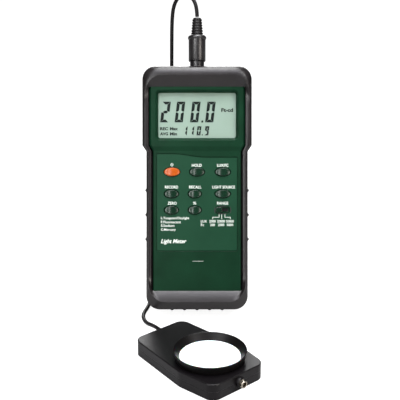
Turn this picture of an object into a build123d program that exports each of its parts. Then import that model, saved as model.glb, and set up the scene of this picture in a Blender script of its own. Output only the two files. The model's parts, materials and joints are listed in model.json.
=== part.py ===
"""Handheld light meter in a rubber holster, standing on its tilt stand, with its sensor head on a cord.

Millimetres, +Z up. The origin is on the bench, at the middle of the floor area that the meter and its
sensor head cover. The meter leans back, so its parts are drawn in the meter's own frame: x to the right,
v up along its length from the holster's bottom end, w out of its rear face towards the user.
"""
from build123d import *
import os
from math import cos, pi, radians, sin, tan

# ---------------------------------------------------------------- stance
lean = 18.5                 # degrees that the meter leans back from upright
stand_angle = 21.0          # degrees between the open stand and the meter's back
meter_x, meter_y = -0.8, 43.6

# ---------------------------------------------------------------- holster
holster_length = 188.0
head_half, waist_half = 42.6, 39.5          # half widths at the display and at the keys
jog_low, jog_high = 123.1, 127.8            # where the waist widens into the head
holster_corner = 10.5
holster_back, end_wall = 5.0, 4.0
grip_wall = 5.2                             # side wall where it holds the housing
lip_wall, lip_rise = 3.9, 0.7               # side wall at the lip, past the open groove
groove_depth = 5.0
bumper_rise, bumper_reach, bumper_ridge = 4.5, 14.8, 6.3
top_extra = 1.6                             # the top bumper is this much thicker than the bottom one
rear_round = 3.0
rib_height, rib_width, rib_start, rib_end = 1.2, 2.8, 5.5, 34.0
end_rib_pitch, side_rib_pitch, side_rib_v = 9.8, 19.1, 73.7
window_half, window_low, window_high = 24.0, 12.0, 172.0
notch_half = 16.2

# ---------------------------------------------------------------- housing
fit = 0.2                                   # clearance of the housing in the holster
housing_thick, parting = 33.0, 17.0         # parting line above the housing's rear face
shell_wall, face_wall, rear_wall = 2.2, 2.4, 2.2
head_step, step_low, step_high = 0.8, 123.4, 126.8
shoulder = 1.6
housing_corner = 6.0

# ---------------------------------------------------------------- display
glass_x, glass_v = 60.6, 35.2               # clear opening over the display
display_v = 151.2
recess_wall, recess_corner = 2.0, 3.6
lens_thick, lens_edge = 1.4, 1.2
lcd_thick, lcd_edge = 2.4, 2.6
frame_wall = 1.2
strip_width = 2.4

# ---------------------------------------------------------------- board
board_thick, board_gap = 1.6, 2.0           # gap between the board and the display
board_half, board_low, board_high = 30.6, 15.5, 172.5
case_screws_low, case_screws_high = (25.0, 10.5), (28.0, 177.0)
board_screws_low, board_screws_high = (27.2, 20.5), (27.2, 125.0)
screw_r, screw_head_r, screw_head, post_r = 1.15, 2.3, 1.6, 3.1

# ---------------------------------------------------------------- keys
panel_half, panel_low, panel_left, panel_right = 31.0, 46.1, 120.8, 118.1
panel_thick, panel_groove = 0.5, 0.7
key_rise, key_gap = 1.3, 0.3
rows = {"top": 107.1, "middle": 90.1, "bottom": 77.5}
keys = {
    "power_button": (-19.5, rows["top"], 12.2, 6.4),
    "hold_button": (0.0, rows["top"], 11.6, 6.2),
    "units_button": (20.0, rows["top"], 11.9, 6.2),
    "record_button": (-19.9, rows["middle"], 11.1, 6.1),
    "recall_button": (-1.8, rows["middle"], 10.2, 6.1),
    "light_source_button": (19.9, rows["middle"], 12.0, 6.1),
    "zero_button": (-19.9, rows["bottom"], 11.0, 6.2),
    "percent_button": (-1.8, rows["bottom"], 10.2, 6.2),
}
switch_body, switch_height, switch_actuator = 6.0, 3.4, 0.35
slide_x, slide_v, slide_travel = 19.9, rows["bottom"], 6.0
slide_knob, slide_stem = 5.4, 2.0

# ---------------------------------------------------------------- battery
battery_x, battery_v, battery_w = 26.5, 48.5, 17.5
bay_low, bay_gap, snap_room = 24.0, 0.5, 12.0
bay_wall, bay_front = 2.6, 1.2
cover_thick, cover_lap, cover_gap = 2.0, 1.5, 0.3

# ---------------------------------------------------------------- stand
stand_v, pin_w, pin_r, running = 118.0, 2.8, 0.9, 0.05
barrel_r, barrel_half, ear_thick = 2.0, 16.6, 3.0
leg_thick, leg_top, leg_foot, foot_r = 3.0, 32.0, 27.0, 1.5

# ---------------------------------------------------------------- socket and plug
plug_w = 17.0                               # plug axis above the housing's rear face
flange_r, neck_r, socket_r, socket_depth = 7.6, 6.4, 5.6, 12.0
nut_r, nut_thick = 8.2, 1.4
shell_r, shell_thick, shell_length = 4.8, 0.5, 8.0
contact_r, contact_circle = 0.5, 2.3
collar_r, sleeve_r, ring_r = 5.6, 6.75, 7.35
collar_rise, sleeve_length, ring_length = 7.6, 17.6, 3.1
boot_base_r, boot_tip_r, boot_length = 4.85, 3.85, 13.8
cable_d = 3.0

# ---------------------------------------------------------------- sensor head
sensor_x, sensor_y, sensor_turn = -0.6, -57.0, 48.7
sensor_length, sensor_tail, sensor_waist, sensor_nose = 86.0, 45.4, 56.0, 47.2
sensor_widest = 13.4                        # widest place, past the middle, towards the nose
sensor_thick, sensor_split, sensor_corner = 12.0, 6.3, 7.5
sensor_wall, sensor_edge = 1.8, 0.7
disc_along, disc_r, disc_z, disc_thick = 13.6, 21.3, 14.0, 1.6
hood_wall, hood_flare, hood_rise, hood_lip = 2.3, 1.9, 4.6, 0.7
grommet_across, grommet_r, grommet_out = 5.0, 2.7, 4.0
bush_r, bush_bore, bush_out, bush_in = 2.7, 1.6, 5.0, 4.0
boss_r = 3.6

# ---------------------------------------------------------------- cord
coil_x, coil_y = -4.0, 109.2
coil_r, bundle_r, tie_thick, tie_width = 16.5, 4.7, 0.7, 3.4
tie_gap = 0.2


def tilted(angle, origin=(0, 0, 0)):
    """A plane whose Y runs up and back by angle from upright, and whose Z faces the user."""
    a = radians(angle)
    return Plane(origin=origin, x_dir=(1, 0, 0), z_dir=(0, -cos(a), sin(a)))


rib_foot = rib_height * cos(radians(lean)) - rib_start * sin(radians(lean))
meter = tilted(lean, (meter_x, meter_y, rib_foot))
out = Axis((0, 0, 0), tuple(meter.z_dir))
along = Axis((0, 0, 0), tuple(meter.y_dir))


def level(w, x=0.0, v=0.0):
    """Plane parallel to the meter's face, w above the holster's rear."""
    return Plane(origin=meter.from_local_coords((x, v, w)), x_dir=meter.x_dir, z_dir=meter.z_dir)


def topwards(v, x=0.0, w=0.0):
    """Plane square to the meter's length, facing its top end."""
    return Plane(origin=meter.from_local_coords((x, v, w)), x_dir=meter.x_dir, z_dir=meter.y_dir)


def flank(x):
    """Plane seen from the meter's right side: X runs up the meter, Y towards the user."""
    return Plane(origin=meter.from_local_coords((x, 0, 0)), x_dir=meter.y_dir, z_dir=meter.x_dir)


def outline(plane, inset, low, high, corner, jog=2.4):
    """The shape that the holster, the housing and their hollows share: a wide head on a narrower waist."""
    head, waist = head_half - inset, waist_half - inset
    with BuildSketch(plane) as shape:
        with BuildLine():
            Polyline(
                (waist, low), (waist, jog_low), (head, jog_high), (head, high),
                (-head, high), (-head, jog_high), (-waist, jog_low), (-waist, low), close=True,
            )
        make_face()
        levels = shape.vertices().group_by(Axis.Y)
        fillet(levels[0] + levels[-1], corner)
        steps = shape.vertices().group_by(Axis.Y)
        fillet(steps[2] + steps[3], jog)
    return shape.sketch


def slab(plane, width, height, depth, corner=0.0, mode=Mode.ADD):
    """A plate standing on plane."""
    with BuildSketch(plane) as shape:
        if corner:
            RectangleRounded(width, height, corner)
        else:
            Rectangle(width, height)
    extrude(shape.sketch, amount=depth, mode=mode)


def rod(plane, radius, depth, mode=Mode.ADD):
    """A round bar standing on plane."""
    with BuildSketch(plane) as shape:
        Circle(radius)
    extrude(shape.sketch, amount=depth, mode=mode)


def save(piece, name):
    piece.part.label = name
    export_step(piece.part, f"parts/{name}.step")


# ---------------------------------------------------------------- heights that the parts share
rear = holster_back
face = rear + housing_thick
split = rear + parting
inside = face - face_wall
head_face = face + head_step
housing_inset = grip_wall + fit
housing_low, housing_high = end_wall + fit, holster_length - end_wall - fit
cavity = dict(
    inset=housing_inset + shell_wall, low=housing_low + shell_wall,
    high=housing_high - shell_wall, corner=housing_corner - shell_wall,
)
lcd_front = inside - lens_thick
lcd_rear = lcd_front - lcd_thick
board_front = lcd_rear - board_gap
board_rear = board_front - board_thick
plug_axis = rear + plug_w
bay_half = battery_x / 2 + bay_gap
bay_high = bay_low + battery_v + snap_room
bay_mid, bay_long = (bay_low + bay_high) / 2, bay_high - bay_low
battery_rear = rear + cover_thick + bay_gap
bay_top = battery_rear + battery_w + bay_gap
cover_half, cover_long = bay_half + cover_lap, bay_long + 2 * cover_lap


def mirrored(*spots):
    """Each spot and its mirror image across the meter's middle."""
    return [(side * x, v) for x, v in spots for side in (-1, 1)]


case_spots = mirrored(case_screws_low, case_screws_high)
board_spots = mirrored(board_screws_low, board_screws_high)


def posts(w, spots, radius, depth, mode=Mode.ADD):
    """Round posts or holes at every spot."""
    with BuildSketch(level(w)) as shape:
        with Locations(*spots):
            Circle(radius)
    extrude(shape.sketch, amount=depth, mode=mode)


def panel_shape(plane, grow=0.0):
    """Keypad panel: a rectangle whose top edge runs down in a shallow S from left to right."""
    half, low, left, right = panel_half + grow, panel_low - grow, panel_left + grow, panel_right + grow
    with BuildSketch(plane) as shape:
        with BuildLine():
            Polyline((-half, left), (-half, low), (half, low), (half, right))
            Line((-half, left), (-half * 0.62, left))
            Bezier((-half * 0.62, left), (-half * 0.3, left), (-half * 0.1, right), (half * 0.25, right))
            Line((half * 0.25, right), (half, right))
        make_face()
        fillet(shape.vertices().group_by(Axis.Y)[0], 1.2)
    return shape.sketch


# ---------------------------------------------------------------- holster
with BuildPart() as holster:
    top_end = holster_length + top_extra
    extrude(outline(level(0), 0, 0, top_end, holster_corner), amount=face + bumper_rise)
    # the sides stop at the lip, and both ends slope from the bumper's ridge to the face and to the end
    with BuildSketch(flank(-head_half - 1)):
        with BuildLine():
            top = face + bumper_rise
            Polyline(
                (bumper_ridge, top), (bumper_reach, face + lip_rise), (jog_low, face + lip_rise),
                (jog_high, head_face + lip_rise), (holster_length - bumper_reach, head_face + lip_rise),
                (holster_length - bumper_ridge, top), (top_end, top - bumper_ridge),
                (top_end, top + 1), (0, top + 1), (0, top - bumper_ridge), close=True,
            )
        make_face()
    extrude(amount=2 * head_half + 2, mode=Mode.SUBTRACT)
    fillet(holster.faces().sort_by(out)[0].outer_wire().edges(), rear_round)
    # hollow for the housing, open at the front between the bumpers
    hollow = outline(level(rear), grip_wall, end_wall, holster_length - end_wall, housing_corner)
    extrude(hollow, amount=housing_thick + fit, mode=Mode.SUBTRACT)
    head_end = holster_length - end_wall
    slab(level(rear, 0, (jog_high + head_end) / 2), 2 * (head_half - grip_wall), head_end - jog_high,
         housing_thick + head_step + fit, housing_corner, Mode.SUBTRACT)
    slab(level(rear, 0, (step_low + head_end) / 2), 2 * (head_half - grip_wall) - 12, head_end - step_low,
         housing_thick + head_step + fit, mode=Mode.SUBTRACT)
    groove = outline(level(face - groove_depth), lip_wall, bumper_reach, holster_length - bumper_reach, 2.0)
    extrude(groove, amount=groove_depth + bumper_rise + 1, mode=Mode.SUBTRACT)
    slab(level(0, 0, (window_low + window_high) / 2), 2 * window_half, window_high - window_low, rear, 4,
         mode=Mode.SUBTRACT)
    slab(level(0, 0, window_low / 2), 2 * notch_half, window_low + 6, rear, mode=Mode.SUBTRACT)
    rod(topwards(holster_length - end_wall - 1, 0, plug_axis), nut_r + 0.3, end_wall + top_extra + 2, Mode.SUBTRACT)
    for step in (-2, -1, 0, 1, 2):
        slab(level(rib_start, step * end_rib_pitch, 0), rib_width, 2 * rib_height, rib_end - rib_start)
    for step in (-1, 0, 1):
        with BuildSketch(level(rib_start)):
            with Locations(*mirrored((waist_half, side_rib_v + step * side_rib_pitch))):
                Rectangle(2 * rib_height, rib_width)
        extrude(amount=rib_end - rib_start)
save(holster, "holster")

# ---------------------------------------------------------------- front shell
with BuildPart() as front_shell:
    body = outline(level(split), housing_inset, housing_low, housing_high, housing_corner)
    extrude(body, amount=head_face - split)
    chamfer(front_shell.faces().sort_by(out)[-1].outer_wire().edges(), shoulder)
    with BuildSketch(flank(-head_half)):
        with BuildLine():
            Polyline((-1, face), (step_low, face), (step_high, head_face), (step_high, head_face + 1),
                     (-1, head_face + 1), close=True)
        make_face()
    extrude(amount=2 * head_half, mode=Mode.SUBTRACT)
    extrude(outline(level(split), **cavity), amount=inside - split, mode=Mode.SUBTRACT)
    # sloping recess down to the display window
    with BuildSketch(level(inside, 0, display_v)):
        RectangleRounded(glass_x, glass_v, recess_corner - recess_wall)
    with BuildSketch(level(head_face, 0, display_v)):
        RectangleRounded(glass_x + 2 * recess_wall, glass_v + 2 * recess_wall, recess_corner)
    loft(mode=Mode.SUBTRACT)
    panel_seat = panel_shape(level(face - panel_thick), panel_groove)
    extrude(panel_seat, amount=panel_thick + 0.1, mode=Mode.SUBTRACT)
    for across, up, width, height in keys.values():
        with BuildSketch(level(inside, across, up)):
            Ellipse(width / 2 + key_gap, height / 2 + key_gap)
        extrude(amount=face_wall, mode=Mode.SUBTRACT)
    slab(level(face - 1.1, slide_x, slide_v), 12.2, 6.2, 1.2, 3.0, mode=Mode.SUBTRACT)
    slab(level(inside, slide_x, slide_v), slide_travel + slide_stem + 0.6, slide_stem + 0.6, face_wall,
         mode=Mode.SUBTRACT)
    posts(split, case_spots, post_r, inside - split)
    posts(split, case_spots, screw_r + 0.05, 9, Mode.SUBTRACT)
    posts(board_front, board_spots, post_r, inside - board_front)
    posts(board_front, board_spots, screw_r + 0.05, 4.5, Mode.SUBTRACT)
    rod(topwards(housing_high - shell_wall - 1, 0, plug_axis), neck_r + 0.1, shell_wall + 2, Mode.SUBTRACT)
save(front_shell, "front_shell")

# ---------------------------------------------------------------- rear shell
with BuildPart() as rear_shell:
    body = outline(level(rear), housing_inset, housing_low, housing_high, housing_corner)
    extrude(body, amount=parting)
    chamfer(rear_shell.faces().sort_by(out)[0].outer_wire().edges(), 0.8)
    extrude(outline(level(rear + rear_wall), **cavity), amount=parting - rear_wall, mode=Mode.SUBTRACT)
    bay_out = (2 * (bay_half + bay_wall), bay_long + 2 * bay_wall)
    slab(level(rear, 0, bay_mid), *bay_out, bay_top + bay_front - rear)
    slab(level(rear, 0, bay_mid), 2 * bay_half, bay_long, bay_top - rear, mode=Mode.SUBTRACT)
    slab(level(rear, 0, bay_mid), 2 * (cover_half + cover_gap), cover_long + 2 * cover_gap,
         cover_thick + cover_gap, mode=Mode.SUBTRACT)
    posts(bay_top, [(-3, bay_high - 4), (3, bay_high - 4)], 1.0, bay_front, Mode.SUBTRACT)
    posts(rear + 0.5, case_spots, post_r, parting - 0.5)
    posts(rear, case_spots, screw_r + 0.3, parting, Mode.SUBTRACT)
    posts(rear, case_spots, screw_head_r + 0.3, 2.6, Mode.SUBTRACT)
    # ears that carry the stand's pin
    for side in (-1, 1):
        middle = side * (barrel_half + 0.3 + ear_thick / 2)
        with BuildSketch(flank(middle)):
            with Locations((stand_v, pin_w)):
                Circle(2.0)
            with Locations((stand_v, (pin_w + rear + 0.3) / 2)):
                Rectangle(4.0, rear + 0.3 - pin_w)
        extrude(amount=ear_thick / 2, both=True)
    with BuildSketch(flank(0)):
        with Locations((stand_v, pin_w)):
            Circle(pin_r)
    extrude(amount=barrel_half + 0.3 + ear_thick - 0.6, both=True, mode=Mode.SUBTRACT)
    rod(topwards(housing_high - shell_wall - 1, 0, plug_axis), neck_r + 0.1, shell_wall + 2, Mode.SUBTRACT)
save(rear_shell, "rear_shell")

# ---------------------------------------------------------------- display
with BuildPart() as display_window:
    slab(level(lcd_front, 0, display_v), glass_x + 2 * lens_edge, glass_v + 2 * lens_edge, lens_thick, 1.0)
save(display_window, "display_window")

with BuildPart() as lcd_panel:
    slab(level(lcd_rear, 0, display_v), glass_x + 2 * lcd_edge, glass_v + 2 * lcd_edge, lcd_thick)
save(lcd_panel, "lcd_panel")

with BuildPart() as lcd_frame:
    wide, tall = glass_x + 2 * lcd_edge + 0.2, glass_v + 2 * lcd_edge + 0.2
    deep = lcd_front - board_front
    slab(level(board_front, 0, display_v), wide + 2 * frame_wall, tall + 2 * frame_wall, deep)
    slab(level(board_front, 0, display_v), wide, tall, deep, mode=Mode.SUBTRACT)
save(lcd_frame, "lcd_frame")

with BuildPart() as contact_strips:
    with BuildSketch(level(board_front, 0, display_v)):
        with GridLocations(0, glass_v + lcd_edge, 1, 2):
            Rectangle(glass_x - 2, strip_width)
    extrude(amount=board_gap)
save(contact_strips, "contact_strips")

# ---------------------------------------------------------------- board and what stands on it
with BuildPart() as main_board:
    board_long = board_high - board_low
    slab(level(board_rear, 0, (board_low + board_high) / 2), 2 * board_half, board_long, board_thick)
    posts(board_rear, board_spots, screw_r + 0.15, board_thick, Mode.SUBTRACT)
save(main_board, "main_board")

with BuildPart() as chips:
    for across, up, width, height in ((-6, 142, 14, 14), (14, 150, 6, 5), (14, 138, 6, 5), (-20, 112, 9, 5)):
        slab(level(board_rear, across, up), width, height, -1.6)
save(chips, "chips")

with BuildPart() as key_switches:
    for across, up, width, height in keys.values():
        slab(level(board_front, across, up), switch_body, switch_body * 0.9, switch_height)
        rod(level(board_front + switch_height, across, up), 1.7, switch_actuator)
save(key_switches, "key_switches")

with BuildPart() as range_switch:
    slab(level(board_front, slide_x, slide_v), 12.5, 5.6, inside - board_front - 1.9)
save(range_switch, "range_switch")

with BuildPart() as board_screws:
    posts(board_rear, board_spots, screw_r, 5.5)
    posts(board_rear, board_spots, screw_head_r, -1.3)
save(board_screws, "board_screws")

with BuildPart() as case_screws:
    posts(rear + 1.0, case_spots, screw_r, parting + 7)
    posts(rear + 1.0, case_spots, screw_head_r, screw_head)
save(case_screws, "case_screws")

# ---------------------------------------------------------------- keypad
with BuildPart() as keypad_panel:
    extrude(panel_shape(level(face - panel_thick)), amount=panel_thick)
    for across, up, width, height in keys.values():
        with BuildSketch(level(face - panel_thick, across, up)):
            Ellipse(width / 2 + 2 * key_gap, height / 2 + 2 * key_gap)
        extrude(amount=panel_thick, mode=Mode.SUBTRACT)
    slab(level(face - panel_thick, slide_x, slide_v), 12.2, 6.2, panel_thick, 3.0, mode=Mode.SUBTRACT)
save(keypad_panel, "keypad_panel")


def key(across, up, width, height):
    """An oval key cap, held behind the face by the flange round its foot."""
    with BuildPart() as cap:
        with BuildSketch(level(inside - 0.05, across, up)):
            Ellipse(width / 2, height / 2)
        extrude(amount=face_wall + 0.05 + key_rise)
        fillet(cap.faces().sort_by(out)[-1].edges(), key_rise * 0.85)
        with BuildSketch(level(inside - 0.05, across, up)):
            Ellipse(width / 2 + 1, height / 2 + 1)
        extrude(amount=-0.8)
    return cap


for name, place in keys.items():
    save(key(*place), name)

with BuildPart() as range_slider:
    start = slide_x - slide_travel / 2
    slab(level(face - 1.0, start, slide_v), slide_knob, 4.4, 1.7, 1.0)
    fillet(range_slider.faces().sort_by(out)[-1].edges(), 0.5)
    slab(level(inside - 0.9, start, slide_v), slide_stem, slide_stem, face_wall + 0.9)
    slab(level(inside - 0.05, start, slide_v), 5.0, 4.4, -0.8)
save(range_slider, "range_slider")

# ---------------------------------------------------------------- battery
with BuildPart() as battery:
    middle = battery_rear + battery_w / 2
    low = bay_low + bay_gap
    with BuildSketch(topwards(low, 0, middle)):
        RectangleRounded(battery_x, battery_w, 2.0)
    extrude(amount=battery_v - 2 * bay_gap)
    rod(topwards(low + battery_v - 2 * bay_gap, -6.5, middle), 2.9, 2.4)
    rod(topwards(low + battery_v - 2 * bay_gap, 6.5, middle), 4.0, 2.4)
save(battery, "battery")

with BuildPart() as battery_snap:
    snap_v = bay_low + battery_v - bay_gap + 2.5
    slab(topwards(snap_v, 0, battery_rear + battery_w / 2), 24, 11, 1.6, 1.5)
    for across, radius in ((-6.5, 3.0), (6.5, 4.1)):
        rod(topwards(snap_v, across, battery_rear + battery_w / 2), radius + 0.6, -2.2)
        rod(topwards(snap_v, across, battery_rear + battery_w / 2), radius, -2.2, Mode.SUBTRACT)
save(battery_snap, "battery_snap")

with BuildPart() as battery_leads:
    for across in (-3, 3):
        start = (across, snap_v + 1.6, battery_rear + battery_w / 2)
        bend = (across, bay_high - 4, battery_rear + battery_w / 2)
        finish = (across, bay_high - 4, board_rear)
        with BuildLine():
            FilletPolyline(*[meter.from_local_coords(p) for p in (start, bend, finish)], radius=1.8)
        with BuildSketch(topwards(snap_v + 1.6, across, battery_rear + battery_w / 2)):
            Circle(0.6)
        sweep()
save(battery_leads, "battery_leads")

with BuildPart() as battery_cover:
    slab(level(rear, 0, bay_mid), 2 * cover_half, cover_long, cover_thick, 0.8)
    with BuildSketch(level(rear, 0, bay_high - 6)):
        with GridLocations(0, 2.2, 1, 4):
            Rectangle(14, 0.9)
    extrude(amount=0.6, mode=Mode.SUBTRACT)
save(battery_cover, "battery_cover")

# ---------------------------------------------------------------- tilt stand, drawn open
hinge = meter.from_local_coords((0, stand_v, pin_w))
leg = tilted(lean - stand_angle, (meter_x, hinge.Y, hinge.Z))
leg_length = (hinge.Z - foot_r) / cos(radians(stand_angle - lean))

with BuildPart() as tilt_stand:
    with BuildSketch(Plane(origin=leg.from_local_coords((0, 0, -leg_thick / 2)), x_dir=leg.x_dir,
                           z_dir=leg.z_dir)):
        with BuildLine():
            Polyline((-leg_top / 2, -1), (leg_top / 2, -1), (leg_foot / 2, -leg_length),
                     (-leg_foot / 2, -leg_length), close=True)
        make_face()
    extrude(amount=leg_thick)
    for up, radius, half in ((0, barrel_r, barrel_half), (-leg_length, foot_r, leg_foot / 2)):
        centre = leg.from_local_coords((0, up, 0))
        with BuildSketch(Plane(origin=centre, x_dir=leg.y_dir, z_dir=leg.x_dir)):
            Circle(radius)
        extrude(amount=half, both=True)
    with BuildSketch(Plane(origin=hinge, x_dir=leg.y_dir, z_dir=leg.x_dir)):
        Circle(pin_r + running)
    extrude(amount=barrel_half + 1, both=True, mode=Mode.SUBTRACT)
save(tilt_stand, "tilt_stand")

with BuildPart() as stand_pin:
    with BuildSketch(flank(0)):
        with Locations((stand_v, pin_w)):
            Circle(pin_r)
    extrude(amount=barrel_half + 0.3 + ear_thick - 0.7, both=True)
save(stand_pin, "stand_pin")

# ---------------------------------------------------------------- sensor socket and plug
socket_top = housing_high + nut_thick - 0.2
socket_base = housing_high - shell_wall - socket_depth
shell_foot = socket_top - shell_length


def round_pins(v, depth, radius, mode=Mode.ADD):
    """The four contacts, or the holes for them, round the plug's axis."""
    with BuildSketch(topwards(v, 0, plug_axis)) as shape:
        with PolarLocations(contact_circle, 4, 45):
            Circle(radius)
    extrude(shape.sketch, amount=depth, mode=mode)


with BuildPart() as sensor_socket:
    rod(topwards(socket_base, 0, plug_axis), socket_r, socket_depth)
    rod(topwards(housing_high - shell_wall, 0, plug_axis), flange_r, -2)
    rod(topwards(housing_high - shell_wall, 0, plug_axis), neck_r, socket_top - housing_high + shell_wall)
    rod(topwards(shell_foot - 0.5, 0, plug_axis), shell_r + 0.1, shell_length + 1, Mode.SUBTRACT)
    rod(topwards(shell_foot - 1, 0, plug_axis), shell_r - shell_thick - 0.1, shell_length - 1)
    round_pins(shell_foot - 0.5, shell_length, contact_r + 0.05, Mode.SUBTRACT)
save(sensor_socket, "sensor_socket")

with BuildPart() as socket_nut:
    rod(topwards(housing_high, 0, plug_axis), nut_r, nut_thick)
    rod(topwards(housing_high, 0, plug_axis), neck_r + 0.05, nut_thick, Mode.SUBTRACT)
save(socket_nut, "socket_nut")

collar_foot = socket_top + 0.2
sleeve_foot = holster_length + collar_rise
ring_foot = sleeve_foot + sleeve_length
boot_foot = ring_foot + ring_length
boot_tip = boot_foot + boot_length

with BuildPart() as plug_shell:
    rod(topwards(shell_foot, 0, plug_axis), shell_r, sleeve_foot - shell_foot - 1)
    rod(topwards(shell_foot, 0, plug_axis), shell_r - shell_thick, sleeve_foot - shell_foot - 1, Mode.SUBTRACT)
save(plug_shell, "plug_shell")

insert_foot = shell_foot + shell_length - 1.5
with BuildPart() as plug_insert:
    rod(topwards(insert_foot, 0, plug_axis), shell_r - shell_thick, 6)
    round_pins(insert_foot, 6, contact_r, Mode.SUBTRACT)
save(plug_insert, "plug_insert")

with BuildPart() as plug_pins:
    round_pins(shell_foot, insert_foot + 8 - shell_foot, contact_r)
save(plug_pins, "plug_pins")

with BuildPart() as plug_sleeve:
    rod(topwards(collar_foot, 0, plug_axis), collar_r, sleeve_foot - collar_foot)
    rod(topwards(sleeve_foot, 0, plug_axis), sleeve_r, sleeve_length + 1)
    rod(topwards(ring_foot, 0, plug_axis), ring_r, ring_length)
    chamfer(plug_sleeve.faces().sort_by(along)[-1].edges(), ring_length * 0.5)
    rod(topwards(collar_foot, 0, plug_axis), shell_r, sleeve_foot - collar_foot - 1, Mode.SUBTRACT)
save(plug_sleeve, "plug_sleeve")

with BuildPart() as plug_boot:
    with BuildSketch(topwards(boot_foot, 0, plug_axis)):
        Circle(boot_base_r)
    with BuildSketch(topwards(boot_tip, 0, plug_axis)):
        Circle(boot_tip_r)
    loft()
save(plug_boot, "plug_boot")

# ---------------------------------------------------------------- sensor head
turn = radians(sensor_turn)
head = Plane(origin=(sensor_x, sensor_y, 0), x_dir=(cos(turn), -sin(turn), 0), z_dir=(0, 0, 1))


def deck(z, x=0.0, y=0.0):
    """Plane parallel to the bench in the sensor head's own frame, X towards its nose."""
    return Plane(origin=head.from_local_coords((x, y, z)), x_dir=head.x_dir, z_dir=head.z_dir)


def end_on(x, y, z):
    """Plane facing the sensor head's nose."""
    return Plane(origin=head.from_local_coords((x, y, z)), x_dir=head.y_dir, z_dir=head.x_dir)


def head_shape(z, inset):
    """The sensor head's six-sided outline, widest beside the disc."""
    end = sensor_length / 2 - inset
    with BuildSketch(deck(z)) as shape:
        with BuildLine():
            tail, wide, nose = (w / 2 - inset for w in (sensor_tail, sensor_waist, sensor_nose))
            Polyline((-end, -tail), (sensor_widest, -wide), (end, -nose), (end, nose),
                     (sensor_widest, wide), (-end, tail), close=True)
        make_face()
        ends = shape.vertices().group_by(Axis.X)
        fillet(ends[0] + ends[-1], sensor_corner - inset)
        fillet(shape.vertices().filter_by_position(Axis.X, sensor_widest - 1, sensor_widest + 1), 14)
    return shape.sketch


head_spots = [(-35.0, 12.5), (-35.0, -12.5), (35.5, 14.5), (35.5, -14.5)]
lid_inside = sensor_thick - sensor_wall


def head_posts(z, radius, depth, mode=Mode.ADD):
    with BuildSketch(deck(z)) as shape:
        with Locations(*head_spots):
            Circle(radius)
    extrude(shape.sketch, amount=depth, mode=mode)


def head_openings():
    """The cable's hole in the tail wall, and the seat round the bush in the nose wall."""
    rod(end_on(-sensor_length / 2 - 1, grommet_across, sensor_split), grommet_r - 0.5, 2 + sensor_wall,
        Mode.SUBTRACT)
    rod(end_on(sensor_length / 2 - 0.8, 0, sensor_split), boss_r, 2, Mode.SUBTRACT)
    rod(end_on(sensor_length / 2 - bush_in, 0, sensor_split), bush_r, bush_in + 2, Mode.SUBTRACT)


with BuildPart() as sensor_base:
    extrude(head_shape(0, 0), amount=sensor_split)
    chamfer(sensor_base.faces().sort_by(Axis.Z)[0].edges(), 0.5)
    extrude(head_shape(sensor_wall, sensor_wall), amount=sensor_split - sensor_wall, mode=Mode.SUBTRACT)
    head_posts(1, 3.0, sensor_split - 1)
    head_posts(0, screw_r + 0.2, sensor_split, Mode.SUBTRACT)
    head_posts(0, screw_head_r + 0.2, 2.2, Mode.SUBTRACT)
    slab(deck(1, sensor_length / 2 - 2.6, 0), 3.0, 9, sensor_split - 1)
    head_openings()
save(sensor_base, "sensor_base")

with BuildPart() as sensor_cover:
    extrude(head_shape(sensor_split, 0), amount=sensor_thick - sensor_split)
    fillet(sensor_cover.faces().sort_by(Axis.Z)[-1].edges(), sensor_edge)
    extrude(head_shape(sensor_split, sensor_wall), amount=lid_inside - sensor_split, mode=Mode.SUBTRACT)
    head_posts(sensor_split, 3.0, lid_inside - sensor_split)
    head_posts(sensor_split, screw_r, 3.4, Mode.SUBTRACT)
    slab(deck(sensor_split, sensor_length / 2 - 2.6, 0), 3.0, 9, lid_inside - sensor_split + 0.5)
    rod(deck(lid_inside - 0.5, disc_along), disc_r - 2.5, 4, Mode.SUBTRACT)
    head_openings()
save(sensor_cover, "sensor_cover")

hood_foot_r, hood_top = disc_r + hood_wall, disc_z + hood_rise
hood_r = hood_foot_r + hood_flare
disc_axis = Axis(tuple(head.from_local_coords((disc_along, 0, 0))), (0, 0, 1))
with BuildPart() as sensor_hood:
    with BuildSketch(Plane(origin=disc_axis.position, x_dir=head.x_dir, z_dir=-head.y_dir)):
        with BuildLine():
            seat = disc_z - disc_thick
            Polyline(
                (disc_r - 1.5, sensor_thick), (hood_foot_r, sensor_thick), (hood_r, hood_top - 0.6),
                (hood_r, hood_top), (hood_r - hood_lip, hood_top), (disc_r + 0.1, disc_z),
                (disc_r + 0.1, seat), (disc_r - 1.5, seat), close=True,
            )
        make_face()
    revolve(axis=disc_axis)
save(sensor_hood, "sensor_hood")

with BuildPart() as diffuser:
    rod(deck(disc_z - disc_thick, disc_along), disc_r, disc_thick)
save(diffuser, "diffuser")

with BuildPart() as sensor_board:
    slab(deck(3.4, -3), 58, 32, 1.2)
save(sensor_board, "sensor_board")

with BuildPart() as photodiode:
    slab(deck(4.6, disc_along), 6, 6, 1.8)
save(photodiode, "photodiode")

with BuildPart() as filter_tube:
    rod(deck(4.6, disc_along), 8.0, 5.4)
    rod(deck(4.6, disc_along), 6.0, 5.4, Mode.SUBTRACT)
    rod(deck(8.6, disc_along), 7.0, 1.4, Mode.SUBTRACT)
save(filter_tube, "filter_tube")

with BuildPart() as colour_filter:
    rod(deck(8.6, disc_along), 6.95, 1.2)
save(colour_filter, "colour_filter")

with BuildPart() as sensor_screws:
    head_posts(0.5, screw_r, sensor_split + 2.4)
    head_posts(0.5, screw_head_r, 1.6)
save(sensor_screws, "sensor_screws")

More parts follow.
